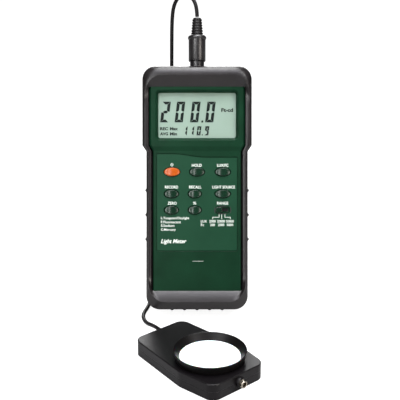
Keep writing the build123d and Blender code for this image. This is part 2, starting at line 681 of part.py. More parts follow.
tail = -sensor_length / 2
with BuildPart() as sensor_grommet:
    with BuildSketch(end_on(tail, grommet_across, sensor_split)):
        Circle(grommet_r)
    with BuildSketch(end_on(tail - grommet_out, grommet_across, sensor_split)):
        Circle(cable_d / 2 + 0.4)
    loft()
    rod(end_on(tail, grommet_across, sensor_split), grommet_r - 0.5, sensor_wall)
    rod(end_on(tail + sensor_wall, grommet_across, sensor_split), grommet_r, 1.2)
save(sensor_grommet, "sensor_grommet")

nose = sensor_length / 2
with BuildPart() as end_bush:
    rod(end_on(nose - bush_in, 0, sensor_split), bush_r, bush_in + bush_out)
    fillet(end_bush.faces().sort_by(Axis((0, 0, 0), tuple(head.x_dir)))[-1].edges(), 0.4)
    rod(end_on(nose - bush_in, 0, sensor_split), bush_bore, bush_in + bush_out, Mode.SUBTRACT)
save(end_bush, "end_bush")

# ---------------------------------------------------------------- cord
cord_exit = meter.from_local_coords((0, boot_tip, plug_axis))
cord_entry = head.from_local_coords((tail - grommet_out, grommet_across, sensor_split))
up_route = [
    tuple(cord_exit), (-1.0, 98.6, 233.8), (-5.6, 102.4, 241.5), (-14.0, 107.0, 242.3),
    (-19.6, 110.6, 234.4), (-21.4, 112.4, 222.5), (-21.9, 113.2, 199.0), (-22.4, 114.2, 155.0),
    (-21.6, 115.8, 103.0), (-22.2, 118.4, 55.0), (-22.0, 120.8, 29.0), (-22.0, 119.2, 14.6),
    (-22.1, 109.2, 8.3),
]
down_route = [
    (-21.8, 117.4, 5.6), (-26.0, 108.3, 4.2), (-33.0, 93.6, 1.5), (-38.3, 75.6, 1.5),
    (-39.8, 58.6, 1.5), (-39.6, 44.6, 1.5), (-40.2, 34.6, 1.5), (-44.4, 17.6, 1.5),
    (-40.5, 4.1, 2.0), (-34.2, -6.0, 4.8), (-29.3, -15.6, 6.8), tuple(cord_entry),
]


def corner_radii(route):
    """For each inner point, 0.45 of its shorter run over the tangent of half its turn."""
    points = [Vector(*p) for p in route]
    radii = []
    for before, here, after in zip(points, points[1:], points[2:]):
        shorter = min((here - before).length, (after - here).length)
        radii.append(0.45 * shorter / tan(radians((here - before).get_angle(after - here)) / 2))
    return radii


def cable(route):
    """A tube of the cord's section along straight runs joined by tangent arcs."""
    with BuildPart() as tube:
        with BuildLine() as path:
            FilletPolyline(*route, radius=corner_radii(route))
        centre = path.wire()
        with BuildSketch(Plane(origin=centre @ 0, z_dir=centre % 0)):
            Circle(cable_d / 2)
        sweep()
    ideal = pi * cable_d**2 / 4 * centre.length
    print("cord run", round(centre.length, 1), "mm, radii", [round(r, 1) for r in corner_radii(route)])
    print("  volume over section times length", round(tube.part.volume / ideal, 4))
    return tube


save(cable(up_route), "cord_upper")
save(cable(down_route), "cord_lower")

coil_z = bundle_r + tie_thick + tie_gap
with BuildPart() as cord_coil:
    with BuildSketch(Plane(origin=(coil_x, coil_y, coil_z), x_dir=(1, 0, 0), z_dir=(0, -1, 0))):
        with Locations((coil_r, 0)):
            Circle(bundle_r)
    revolve(axis=Axis((coil_x, coil_y, 0), (0, 0, 1)))
save(cord_coil, "cord_coil")

with BuildPart() as cord_tie:
    with BuildSketch(Plane(origin=(coil_x + coil_r, coil_y, coil_z), x_dir=(1, 0, 0), z_dir=(0, -1, 0))):
        Circle(bundle_r + tie_gap + tie_thick)
        Circle(bundle_r + tie_gap, mode=Mode.SUBTRACT)
    extrude(amount=tie_width / 2, both=True)
save(cord_tie, "cord_tie")
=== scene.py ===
"""Looks of the handheld light meter: holster, keys, display, plug, cord and sensor head.

Metres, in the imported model's frame. The meter's own frame has x to the right, v up its length from the
holster's bottom end and w out of its rear face, in millimetres.
"""
import json
from math import cos, pi, radians, sin

import bmesh
import bpy
from mathutils import Matrix, Vector


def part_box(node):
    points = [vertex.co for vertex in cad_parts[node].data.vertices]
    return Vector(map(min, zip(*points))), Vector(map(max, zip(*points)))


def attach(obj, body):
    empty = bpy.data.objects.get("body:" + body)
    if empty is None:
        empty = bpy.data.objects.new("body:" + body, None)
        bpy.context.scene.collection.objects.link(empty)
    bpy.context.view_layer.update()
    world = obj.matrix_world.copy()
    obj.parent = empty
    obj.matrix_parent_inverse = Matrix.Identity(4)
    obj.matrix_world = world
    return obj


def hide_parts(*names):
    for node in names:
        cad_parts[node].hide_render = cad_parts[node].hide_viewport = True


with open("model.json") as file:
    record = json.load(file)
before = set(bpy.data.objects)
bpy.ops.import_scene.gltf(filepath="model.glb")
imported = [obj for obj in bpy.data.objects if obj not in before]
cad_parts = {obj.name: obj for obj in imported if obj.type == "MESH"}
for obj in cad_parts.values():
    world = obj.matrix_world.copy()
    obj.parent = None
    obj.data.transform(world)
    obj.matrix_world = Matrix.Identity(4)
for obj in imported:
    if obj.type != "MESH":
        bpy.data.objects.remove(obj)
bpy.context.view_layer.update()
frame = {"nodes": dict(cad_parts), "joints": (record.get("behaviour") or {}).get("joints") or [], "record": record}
nodes = frame["nodes"]
joints = {j["name"]: j for j in frame["joints"]}
mounts = {m["name"]: m for m in frame["record"]["mounts"]}
MM = 0.001


def axes(origin, x, y, z):
    """Matrix that takes millimetres in a local frame to metres in the model's frame."""
    return Matrix.Translation(origin) @ Matrix((x, y, z)).transposed().to_4x4() @ Matrix.Scale(MM, 4)


# the meter leans back: the stand's hinge lies at v 118, w 2.8, and the keys travel along -w
right = Vector((1, 0, 0))
outward = -Vector(joints["cover_lift"]["axis"]).normalized()
upward = outward.cross(right)
heel = Vector(joints["stand_hinge"]["pos_m"]) - upward * 118.0 * MM - outward * 2.8 * MM
METER = axes(heel, right, upward, outward)
# the sensor head lies on the bench: x towards its nose, z up
nose = Vector(mounts["nose_bore"]["axis"]).normalized()
rest = Vector(mounts["sensor_rest"]["pos_m"])
up = Vector((0, 0, 1))
HEAD = axes(rest, nose, up.cross(nose), up)
# the plug stands out of the meter's top end along v, at w 22
PLUG = METER @ Matrix(((1, 0, 0, 0), (0, 0, 1, 0), (0, -1, 0, 22.0), (0, 0, 0, 1)))

# ---------------------------------------------------------------- camera
camera = bpy.data.objects.new("camera", bpy.data.cameras.new("camera"))
bpy.context.scene.collection.objects.link(camera)
camera.location = (0.0015, -0.5583, 0.2907)
camera.rotation_euler = (radians(90 - 18.5), 0, 0)
camera.data.lens = 72.45
camera.data.sensor_width = 36
bpy.context.scene.camera = camera
bpy.context.scene.view_settings.view_transform = "Standard"


# ---------------------------------------------------------------- materials
def rgb(text):
    """Linear colour of an sRGB hex value."""
    parts = [int(text[i:i + 2], 16) / 255 for i in (1, 3, 5)]
    return (*[c / 12.92 if c <= 0.04045 else ((c + 0.055) / 1.055) ** 2.4 for c in parts], 1.0)


def add(tree, kind, links=None, **settings):
    """Adds a node: settings are its properties, links its inputs' values or the outputs that feed them."""
    made = tree.nodes.new(kind)
    for key, value in settings.items():
        setattr(made, key, value)
    for socket, value in (links or {}).items():
        if isinstance(value, bpy.types.NodeSocket):
            tree.links.new(value, made.inputs[socket])
        else:
            made.inputs[socket].default_value = value
    return made


def material(name, colour, rough, **sockets):
    """A Principled material, its tree, its shader and the piece's own coordinates in millimetres."""
    made = bpy.data.materials.new(name)
    made.use_nodes = True
    tree = made.node_tree
    tree.nodes.clear()
    values = {"Base Color": rgb(colour), "Roughness": rough, **sockets}
    shader = add(tree, "ShaderNodeBsdfPrincipled", values)
    add(tree, "ShaderNodeOutputMaterial", {"Surface": shader.outputs[0]})
    coords = add(tree, "ShaderNodeTexCoord")
    place = add(tree, "ShaderNodeMapping", {"Vector": coords.outputs["Object"], "Scale": (1000, 1000, 1000)})
    return made, tree, shader, place.outputs[0]


def grain(tree, shader, place, per_mm, depth, detail=2.0, worn_edge=0.0):
    """A moulded texture of the given fineness and depth in millimetres, as relief, with softened edges."""
    noise = add(tree, "ShaderNodeTexNoise", {"Vector": place, "Scale": per_mm, "Detail": detail})
    bump = add(tree, "ShaderNodeBump", {"Height": noise.outputs[0], "Distance": depth * MM, "Strength": 1.0})
    if worn_edge:
        edge = add(tree, "ShaderNodeBevel", {"Radius": worn_edge * MM}, samples=6)
        tree.links.new(edge.outputs[0], bump.inputs["Normal"])
    tree.links.new(bump.outputs[0], shader.inputs["Normal"])
    return noise.outputs[0]


def mottle(tree, shader, place, dark, light, per_mm, socket="Base Color"):
    """Slow change between two colours, or between two greys for roughness."""
    noise = add(tree, "ShaderNodeTexNoise", {"Vector": place, "Scale": per_mm, "Detail": 3.0})
    ramp = add(tree, "ShaderNodeValToRGB", {"Fac": noise.outputs[0]})
    ramp.color_ramp.elements[0].position = 0.32
    ramp.color_ramp.elements[0].color = dark
    ramp.color_ramp.elements[1].position = 0.68
    ramp.color_ramp.elements[1].color = light
    tree.links.new(ramp.outputs[0], shader.inputs[socket])


def grey(value):
    return (value, value, value, 1.0)


# thermoplastic rubber, injection moulded with a fine spark-eroded grain: a soft, broad, greyish sheen
rubber, t, s, p = material("moulded_holster_rubber", "#141112", 0.36, **{"Specular IOR Level": 0.45})
mottle(t, s, p, rgb("#120f10"), rgb("#181415"), 0.06)
mottle(t, s, p, grey(0.3), grey(0.4), 0.5, "Roughness")
grain(t, s, p, 2.2, 0.022)
# ABS in dark green, moulded in a finely grained tool: satin, a little lighter where it is handled
housing, t, s, p = material("grained_green_abs", "#0d2c1d", 0.36, **{"Specular IOR Level": 0.09})
mottle(t, s, p, rgb("#0a2718"), rgb("#0d2e1d"), 0.05)
grain(t, s, p, 3.0, 0.012, worn_edge=0.5)
# polycarbonate overlay, screen printed on its back: even colour under a fine velvet face
overlay, t, s, p = material("printed_polycarbonate_overlay", "#19402d", 0.36, **{"Specular IOR Level": 0.12})
mottle(t, s, p, rgb("#133524"), rgb("#163a28"), 0.04)
grain(t, s, p, 4.0, 0.006)
# ABS keys from a polished tool: small sharp reflections of the lamps
green_key, t, s, p = material("polished_green_abs", "#0a2417", 0.2, **{"Specular IOR Level": 0.4})
mottle(t, s, p, rgb("#092216"), rgb("#0c281a"), 0.2)
orange_key, t, s, p = material("polished_orange_abs", "#a3490f", 0.24, **{"Specular IOR Level": 0.45})
mottle(t, s, p, rgb("#9e460e"), rgb("#ab4e12"), 0.2)
# white screen ink: matte, slightly uneven film
ink, t, s, p = material("white_screen_ink", "#dfe6df", 0.6)
grain(t, s, p, 6.0, 0.01)
# reflective liquid crystal cell: pale grey green with a faint silvery grain from its rear reflector
cell, t, s, p = material("reflective_lcd_cell", "#7e9285", 0.5, **{"Specular IOR Level": 0.2})
mottle(t, s, p, rgb("#7b8f82"), rgb("#819589"), 0.03)
grain(t, s, p, 5.0, 0.004)
segments, t, s, p = material("dark_lcd_segment", "#0d1312", 0.6, **{"Specular IOR Level": 0.15})
mottle(t, s, p, rgb("#0b1110"), rgb("#101716"), 0.3)
# cast acrylic window, polished: nearly clear, with a thin reflection
window, t, s, p = material("polished_acrylic_window", "#ffffff", 0.03, **{
    "Transmission Weight": 1.0, "IOR": 1.1, "Alpha": 0.12})
mottle(t, s, p, grey(0.02), grey(0.05), 0.1, "Roughness")
# flexible PVC sheath, extruded: black with a satin gloss and faint drawing marks
sheath, t, s, p = material("extruded_pvc_sheath", "#100e0e", 0.4, **{"Specular IOR Level": 0.2})
mottle(t, s, p, grey(0.32), grey(0.44), 0.4, "Roughness")
grain(t, s, p, 2.5, 0.01)
# moulded PVC strain relief: the same black, a little duller
boot_rubber, t, s, p = material("moulded_pvc_boot", "#0e0c0c", 0.42, **{"Specular IOR Level": 0.3})
grain(t, s, p, 2.5, 0.02)
# glossy nylon plug sleeve from a polished tool
nylon, t, s, p = material("polished_black_nylon", "#131112", 0.34, **{"Specular IOR Level": 0.7})
mottle(t, s, p, grey(0.32), grey(0.36), 0.06, "Roughness")
# ABS sensor case, moulded with a spark-eroded grain: near black, greyer where light grazes it
case, t, s, p = material("grained_black_abs", "#090709", 0.34, **{"Specular IOR Level": 0.22})
mottle(t, s, p, rgb("#0a080a"), rgb("#0d0b0d"), 0.08)
grain(t, s, p, 2.4, 0.02, worn_edge=0.7)
hood_plastic, t, s, p = material("moulded_black_hood", "#060505", 0.4, **{"Specular IOR Level": 0.2})
grain(t, s, p, 2.5, 0.02)
# opal acrylic, cast and sanded: milky, light goes a little way in
opal, t, s, p = material("sanded_opal_acrylic", "#f7f8f8", 0.5, **{
    "Subsurface Weight": 0.35, "Subsurface Scale": 0.003})
mottle(t, s, p, grey(0.46), grey(0.58), 0.3, "Roughness")
# nickel plating over brass, polished
nickel, t, s, p = material("bright_nickel_plate", "#a39b8e", 0.2, Metallic=1.0)
mottle(t, s, p, grey(0.12), grey(0.24), 0.8, "Roughness")
# near black for the disc that closes the nose bush's bore: painted shade for the depth of the hole
painted_shade_bore, t, s, p = material("painted_shade_bore_floor", "#0b0a0a", 0.6)
grain(t, s, p, 2.0, 0.01)
# zinc-plated steel screws
zinc, t, s, p = material("zinc_plated_steel", "#b9b9b4", 0.34, Metallic=1.0)
mottle(t, s, p, grey(0.28), grey(0.42), 1.0, "Roughness")
# glass-fibre board under green solder resist
resist, t, s, p = material("green_solder_resist", "#0f4a2a", 0.3)
mottle(t, s, p, rgb("#0d4426"), rgb("#12522f"), 0.3)
epoxy, t, s, p = material("moulded_black_epoxy", "#161617", 0.5)
grain(t, s, p, 4.0, 0.01)
white_abs, t, s, p = material("moulded_white_abs", "#d9d9d4", 0.45)
grain(t, s, p, 3.0, 0.01)
zebra, t, s, p = material("layered_contact_rubber", "#4b4348", 0.6)
mottle(t, s, p, rgb("#3b3539"), rgb("#5a5057"), 1.5)
steel_can, t, s, p = material("printed_steel_can", "#3a3d44", 0.3, Metallic=0.6)
mottle(t, s, p, grey(0.25), grey(0.36), 0.3, "Roughness")
lead, t, s, p = material("extruded_lead_sheath", "#8d1c18", 0.4)
grain(t, s, p, 3.0, 0.01)
brass, t, s, p = material("plated_brass_contact", "#c9a24c", 0.25, Metallic=1.0)
mottle(t, s, p, grey(0.2), grey(0.32), 1.0, "Roughness")
ceramic, t, s, p = material("fired_ceramic_body", "#c9c4ba", 0.5)
mottle(t, s, p, rgb("#c2bdb2"), rgb("#d0cbc2"), 0.8)
filter_glass, t, s, p = material("tinted_filter_glass", "#7fb59a", 0.05, **{"Transmission Weight": 1.0, "IOR": 1.5})
mottle(t, s, p, grey(0.03), grey(0.07), 0.5, "Roughness")

worn = {
    "front_shell": housing, "rear_shell": housing, "battery_cover": housing, "keypad_panel": overlay,
    "lcd_panel": cell, "lcd_frame": white_abs, "contact_strips": zebra, "main_board": resist, "chips": epoxy,
    "key_switches": epoxy, "range_switch": epoxy, "board_screws": zinc, "case_screws": zinc,
    "range_slider": green_key, "battery": steel_can, "battery_snap": epoxy, "battery_leads": lead,
    "tilt_stand": hood_plastic, "stand_pin": zinc, "sensor_socket": epoxy, "socket_nut": nickel,
    "plug_shell": nickel, "plug_insert": epoxy, "plug_pins": brass, "sensor_base": case, "sensor_cover": case,
    "sensor_board": resist, "photodiode": ceramic, "filter_tube": hood_plastic, "colour_filter": filter_glass,
    "sensor_screws": zinc, "sensor_grommet": boot_rubber, "cord_tie": boot_rubber,
}
for name, finish in worn.items():
    nodes[name].data.materials.clear()
    nodes[name].data.materials.append(finish)


# ---------------------------------------------------------------- making pieces
def finished(name, mesh, place, finish, body="meter", sharp=35):
    """Puts a mesh drawn in a local frame into the model, smooth with its sharp edges kept."""
    mesh.transform(place)
    mesh.materials.clear()
    mesh.materials.append(finish)
    mesh.shade_smooth()
    mesh.set_sharp_from_angle(angle=radians(sharp))
    made = bpy.data.objects.new(name, mesh)
    bpy.context.scene.collection.objects.link(made)
    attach(made, body)
    return made


def meshed(verts, faces):
    """A mesh of the given corners and faces, doubles merged and faces turned outwards."""
    mesh = bpy.data.meshes.new("mesh")
    mesh.from_pydata(verts, [], faces)
    work = bmesh.new()
    work.from_mesh(mesh)
    bmesh.ops.remove_doubles(work, verts=work.verts, dist=1e-4)
    bmesh.ops.recalc_face_normals(work, faces=work.faces)
    work.to_mesh(mesh)
    work.free()
    return mesh


def rings(layers, closed):
    """Skins a list of equal rings of points; closed joins the last ring to the first, else both are capped."""
    count = len(layers[0])
    verts = [p for layer in layers for p in layer]
    faces = []
    for i in range(len(layers) if closed else len(layers) - 1):
        a, b = i * count, (i + 1) % len(layers) * count
        faces += [(a + k, a + (k + 1) % count, b + (k + 1) % count, b + k) for k in range(count)]
    if not closed:
        faces += [tuple(range(count)), tuple(range(len(verts) - count, len(verts)))]
    return meshed(verts, faces)


def turned(profile, closed=False, around=96):
    """A turned part from its profile of (radius, height)."""
    layers = [[(r * cos(2 * pi * k / around), r * sin(2 * pi * k / around), h) for k in range(around)]
              for r, h in profile]
    return rings(layers, closed)


# ---------------------------------------------------------------- cord
coil_x, coil_y, coil_z, coil_r = -4.0, 109.2, 5.6, 16.5
route = [
    (-0.8, 95.8, 225.8), (-1.0, 98.6, 233.8), (-5.6, 102.4, 241.5), (-14.0, 107.0, 242.3),
    (-19.6, 110.6, 234.4), (-21.4, 112.4, 222.5), (-21.9, 113.2, 199.0), (-22.4, 114.2, 155.0),
    (-21.6, 115.8, 103.0), (-22.2, 118.4, 55.0), (-22.0, 120.8, 29.0), (-22.0, 119.2, 14.6),
    (-22.1, 109.2, 8.3),
]
# seven turns in a round bundle: each place is (further out, higher), and the turns change place at the tie
places = [(1.55, 2.7), (-1.55, 2.7), (-3.1, 0), (-1.55, -2.7), (1.55, -2.7), (0, 0), (1.55, 2.7), (3.1, 0)]
for step in range(1, 83):
    angle = 180 + 30 * step
    across, rise = places[angle // 360]
    if angle // 360 == 6 and angle % 360 > 165:
        across, rise = places[7]
    reach = (coil_r + across) / cos(radians(15))
    route.append((coil_x + reach * cos(radians(angle)), coil_y + reach * sin(radians(angle)), coil_z + rise))
route += [
    (-21.8, 117.4, 5.6), (-26.0, 108.3, 4.2), (-33.0, 93.6, 1.5), (-38.3, 75.6, 1.5),
    (-39.8, 58.6, 1.5), (-39.6, 44.6, 1.5), (-40.2, 34.6, 1.5), (-44.4, 17.6, 1.5),
    (-40.5, 4.1, 2.0), (-34.2, -6.0, 4.8), (-29.3, -15.6, 6.8), (-25.2, -21.0, 6.3),
]
curve = bpy.data.curves.new("cord", "CURVE")
curve.dimensions = "3D"
line = curve.splines.new("NURBS")
line.points.add(len(route) - 1)
for spot, point in zip(line.points, route):
    spot.co = (*[c * MM for c in point], 1)
line.order_u = 3
line.use_endpoint_u = True
line.resolution_u = 6
curve.bevel_depth = 1.5 * MM
curve.bevel_resolution = 5
curve.use_fill_caps = True
curve.materials.append(sheath)
cord = bpy.data.objects.new("cord", curve)
bpy.context.scene.collection.objects.link(cord)
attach(cord, "meter")
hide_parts("cord_upper", "cord_coil", "cord_lower")


# ---------------------------------------------------------------- holster
length, jog_low, jog_high = 188.0, 123.1, 127.8
waist, head = 39.5, 42.6
top_extra = 1.6                             # the top bumper is this much thicker than the bottom one
middle = [46, 64.4, 83.5, 102, 116, 123.1, 125.4, 127.8, 138, 150]


def blend(v):
    """0 on the waist, 1 on the head, for a place v along the meter."""
    return min(max((v - jog_low) / (jog_high - jog_low), 0), 1)


def rail(inset, end, corner_x, corner_v, near, half=None, more=0.0, up=0.0):
    """One closed line of points round the holster, with the same number of stations for every rail.

    The head is narrower by more on each side, and the top end lies higher by up."""
    low, high = half or (waist - inset), half or (head - inset - more)
    side = []
    for share in (0, 0.35, 0.7, 1):
        side.append((share * (low - corner_x), end))
    for k in range(1, 9):
        a = radians(90 * k / 8)
        side.append((low - corner_x + corner_x * sin(a), end + corner_v * (1 - cos(a))))
    for v in near + middle + [length - v for v in reversed(near)]:
        side.append((low + (high - low) * blend(v), v))
    for k in range(8, 0, -1):
        a = radians(90 * k / 8)
        side.append((high - corner_x + corner_x * sin(a), length + up - end - corner_v * (1 - cos(a))))
    for share in (1, 0.7, 0.35, 0):
        side.append((share * (high - corner_x), length + up - end))
    return side + [(-x, v) for x, v in reversed(side[1:-1])]


# how far each station has turned from the end (0) into the side (1)
turn = [0] * 4 + [0.07 * k for k in range(1, 9)] + [0.66, 0.78, 0.9, 1, 1]
turn = turn + [1] * 10 + turn[::-1]
turn = turn + turn[1:-1][::-1]


def layer(line, at_end, at_side, lift=0.0):
    """A rail's points at a height that runs from the end's to the side's, higher on the head by lift."""
    made = []
    for (x, v), t in zip(line, turn):
        ease = t * t * (3 - 2 * t)
        made.append((x, v, at_end + (at_side - at_end) * ease + lift * blend(v) * ease))
    return made


edge = [13, 17, 21.8, 27, 33]
outer = rail(0, 0, 10.5, 10.5, edge, up=top_extra)
mouth = rail(3.9, 14.8, 2.0, 2.0, [18, 20, 23, 27, 32], more=1.0)
groove = rail(3.9, 4.2, 6.0, 6.0, [12, 15, 19, 25, 32], more=1.0)
grip = rail(5.2, 4.2, 6.0, 6.0, [12, 15, 19, 25, 32])
opening = rail(0, 12.0, 4.0, 4.0, [18, 20, 23, 27, 32], half=24.0)
ridge = rail(1.9, 6.3, 13.0, 15.5, [22.6, 24, 26, 29, 33])
layers = [
    layer(opening, 0, 0),
    layer(rail(3.0, 3.0, 7.5, 7.5, edge, up=top_extra), 0, 0),
    layer(rail(0.9, 0.9, 9.6, 9.6, edge, up=top_extra), 0.9, 0.9),
    layer(outer, 3, 3),
    layer(outer, 20, 20),
    layer(outer, 36.2, 36.6, 0.8),
    layer(rail(0.65, 2.2, 11.4, 12.2, edge, up=3.4), 38.4, 37.4, 0.8),
    layer(rail(1.4, 4.7, 12.4, 14.2, edge, up=4.5), 40.9, 38.2, 0.8),
    layer(rail(1.8, 6.0, 12.9, 15.3, edge, up=3.2), 42.2, 38.75, 0.8),
    layer(ridge, 42.5, 38.9, 0.8),
    layer(mouth, 38.9, 38.6, 0.8),
    layer(mouth, 38.25, 36.0, 0.8),
    layer(groove, 38.2, 33.5, 0.8),
    layer(grip, 37.0, 33.2),
    layer(grip, 5, 5),
    layer(opening, 5, 5),
]
shell = rings(layers, closed=True)
holster = bpy.data.objects.new("holster_moulding", shell)
bpy.context.scene.collection.objects.link(holster)


def evaluated(thing):
    """The object's mesh with its modifiers applied, and the modifiers removed."""
    graph = bpy.context.evaluated_depsgraph_get()
    mesh = bpy.data.meshes.new_from_object(thing.evaluated_get(graph))
    thing.modifiers.clear()
    return mesh


def cutter(mesh):
    made = bpy.data.objects.new("cutter", mesh)
    bpy.context.scene.collection.objects.link(made)
    return made


notch = [[(x, v, w) for x, v in ((-16.2, -3), (16.2, -3), (16.2, 14), (-16.2, 14))] for w in (-2, 5.0)]
hole = [[(8.5 * cos(2 * pi * k / 48), v, 22 + 8.5 * sin(2 * pi * k / 48)) for k in range(48)] for v in (180, 194)]
cutters = [cutter(rings(notch, False)), cutter(rings(hole, False))]
for tool in cutters:
    cut = holster.modifiers.new("cut", "BOOLEAN")
    cut.object = tool
    cut.solver = "EXACT"
round_over = holster.modifiers.new("round_over", "BEVEL")
round_over.width = 0.55
round_over.segments = 3
round_over.limit_method = "ANGLE"
round_over.angle_limit = radians(24)
body = evaluated(holster)
for tool in [holster] + cutters:
    bpy.data.objects.remove(tool)


# ---------------------------------------------------------------- ribs, grown with Geometry Nodes
def input_socket(tree, name, kind, value):
    made = tree.interface.new_socket(name, in_out="INPUT", socket_type=kind)
    made.default_value = value
    return made.identifier


def grown(tree, sizes, finish):
    """The plain mesh that a node tree makes for the given sizes."""
    host = bpy.data.objects.new("host", bpy.data.meshes.new("host"))
    bpy.context.scene.collection.objects.link(host)
    grow = host.modifiers.new("grow", "NODES")
    grow.node_group = tree
    for item in tree.interface.items_tree:
        if item.name in sizes:
            grow[item.identifier] = sizes[item.name]
        if item.name == "Finish":
            grow[item.identifier] = finish
    mesh = evaluated(host)
    bpy.data.objects.remove(host)
    return mesh


def new_tree(name, sizes):
    tree = bpy.data.node_groups.new(name, "GeometryNodeTree")
    for key, value in sizes.items():
        input_socket(tree, key, "NodeSocketInt" if isinstance(value, int) else "NodeSocketFloat", value)
    tree.interface.new_socket("Finish", in_out="INPUT", socket_type="NodeSocketMaterial")
    tree.interface.new_socket("Geometry", in_out="OUTPUT", socket_type="NodeSocketGeometry")
    return tree, add(tree, "NodeGroupInput").outputs


# a row of round-ended bars, each along Z, standing side by side along X
bars, size = new_tree("bar_row", {"Count": 5, "Pitch": 9.8, "Length": 28.0, "Half Width": 1.4, "Rise": 1.2})
step = add(bars, "ShaderNodeCombineXYZ", {"X": size["Pitch"]})
spots = add(bars, "GeometryNodeMeshLine", {"Count": size["Count"], "Offset": step.outputs[0]})
rod = add(bars, "GeometryNodeMeshCylinder", {"Vertices": 16, "Radius": 1.0, "Depth": size["Length"]})
ball = add(bars, "GeometryNodeMeshUVSphere", {"Segments": 16, "Rings": 8, "Radius": 1.0})
half_length = add(bars, "ShaderNodeMath", {0: size["Length"], 1: 0.5}, operation="MULTIPLY")
bar = add(bars, "GeometryNodeJoinGeometry")
bars.links.new(rod.outputs["Mesh"], bar.inputs[0])
for sign in (-1, 1):
    end_z = add(bars, "ShaderNodeMath", {0: half_length.outputs[0], 1: float(sign)}, operation="MULTIPLY")
    place = add(bars, "ShaderNodeCombineXYZ", {"Z": end_z.outputs[0]})
    tip = add(bars, "GeometryNodeTransform", {"Geometry": ball.outputs["Mesh"], "Translation": place.outputs[0]})
    bars.links.new(tip.outputs[0], bar.inputs[0])
scale = add(bars, "ShaderNodeCombineXYZ", {"X": size["Half Width"], "Y": size["Rise"], "Z": 1.0})
shape = add(bars, "GeometryNodeTransform", {"Geometry": bar.outputs[0], "Scale": scale.outputs[0]})
row = add(bars, "GeometryNodeInstanceOnPoints", {"Points": spots.outputs[0], "Instance": shape.outputs[0]})
real = add(bars, "GeometryNodeRealizeInstances", {"Geometry": row.outputs[0]})
dressed = add(bars, "GeometryNodeSetMaterial", {"Geometry": real.outputs[0], "Material": size["Finish"]})
add(bars, "NodeGroupOutput", {"Geometry": dressed.outputs[0]})

# a stack of rings along Z that shrink from the first radius to the last
stack, size = new_tree("ring_stack", {"Count": 6, "Pitch": 2.1, "First Radius": 4.8, "Last Radius": 3.9,
                                      "Wire": 0.14})
step = add(stack, "ShaderNodeCombineXYZ", {"Z": size["Pitch"]})
spots = add(stack, "GeometryNodeMeshLine", {"Count": size["Count"], "Offset": step.outputs[0]})
loop = add(stack, "GeometryNodeCurvePrimitiveCircle", {"Resolution": 64, "Radius": 1.0})
wire = add(stack, "GeometryNodeCurvePrimitiveCircle", {"Resolution": 12, "Radius": size["Wire"]})
ring = add(stack, "GeometryNodeCurveToMesh", {"Curve": loop.outputs[0], "Profile Curve": wire.outputs[0]})
index = add(stack, "GeometryNodeInputIndex")
last = add(stack, "ShaderNodeMath", {0: size["Count"], 1: 1.0}, operation="SUBTRACT")
share = add(stack, "ShaderNodeMath", {0: index.outputs[0], 1: last.outputs[0]}, operation="DIVIDE")
radius = add(stack, "ShaderNodeMapRange", {"Value": share.outputs[0], "To Min": size["First Radius"],
                                           "To Max": size["Last Radius"]})
row = add(stack, "GeometryNodeInstanceOnPoints", {"Points": spots.outputs[0], "Instance": ring.outputs[0],
                                                  "Scale": radius.outputs[0]})
real = add(stack, "GeometryNodeRealizeInstances", {"Geometry": row.outputs[0]})
dressed = add(stack, "GeometryNodeSetMaterial", {"Geometry": real.outputs[0], "Material": size["Finish"]})
add(stack, "NodeGroupOutput", {"Geometry": dressed.outputs[0]})


def joined(meshes):
    """One mesh of several."""
    work = bmesh.new()
    for mesh in meshes:
        work.from_mesh(mesh)
    made = bpy.data.meshes.new("joined")
    work.to_mesh(made)
    work.free()
    return made


# five ribs on the bottom end, three on each side of the waist
end_row = grown(bars, {"Count": 5, "Pitch": 9.8, "Length": 26.0, "Half Width": 1.4, "Rise": 1.15}, rubber)
end_row.transform(Matrix.Translation((-19.6, 0, 19.75)))
side_row = grown(bars, {"Count": 3, "Pitch": 19.1, "Length": 26.0, "Half Width": 1.4, "Rise": 1.15}, rubber)
side_row.transform(Matrix.Translation((39.5, 54.6, 19.75)) @ Matrix.Rotation(pi / 2, 4, "Z"))
other_row = side_row.copy()
other_row.transform(Matrix.Translation((-79.0, 0, 0)))
moulding = finished("holster_moulding", joined([body, end_row, side_row, other_row]), METER, rubber,
                    sharp=50)
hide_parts("holster")


# ---------------------------------------------------------------- keys
face = 38.0
keys = {
    "power_button": (-19.5, 107.1, 12.2, 6.4), "hold_button": (0, 107.1, 11.6, 6.2),
    "units_button": (20, 107.1, 11.9, 6.2), "record_button": (-19.9, 90.1, 11.1, 6.1),
    "recall_button": (-1.8, 90.1, 10.2, 6.1), "light_source_button": (19.9, 90.1, 12.0, 6.1),
    "zero_button": (-19.9, 77.5, 11.0, 6.2), "percent_button": (-1.8, 77.5, 10.2, 6.2),
}
# shares of the key's half size and how far the edge is rounded down there; the top is arched from end to end
crown = [(1.0, 0.45), (0.985, 0.26), (0.96, 0.13), (0.92, 0.04), (0.86, 0.0), (0.74, 0.0), (0.6, 0.0), (0.45, 0.0),
         (0.3, 0.0), (0.15, 0.0), (0.02, 0.0)]
for name, (x, v, width, height) in keys.items():
    spots = [(cos(2 * pi * k / 64), sin(2 * pi * k / 64)) for k in range(64)]
    cap = [[(x + c * width / 2, v + s * height / 2, face - 2.4) for c, s in spots]]
    for share, drop in crown:
        cap.append([(x + share * c * width / 2, v + share * s * height / 2,
                     face + 1.3 - drop - 0.95 * (share * c) ** 2) for c, s in spots])
    flange = [[(x + (width / 2 + 1) * cos(2 * pi * k / 64), v + (height / 2 + 1) * sin(2 * pi * k / 64), w)
               for k in range(64)] for w in (34.75, 35.55)]
    finish = orange_key if name == "power_button" else green_key
    made = finished(name + "_cap", joined([rings(cap, False), rings(flange, False)]), METER, finish, name)
    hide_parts(name)


# ---------------------------------------------------------------- display and print
lcd = 34.2


def plate(corners, low, high):
    """A thin flat piece between two heights."""
    return rings([[(x, v, w) for x, v in corners] for w in (low, high)], False)


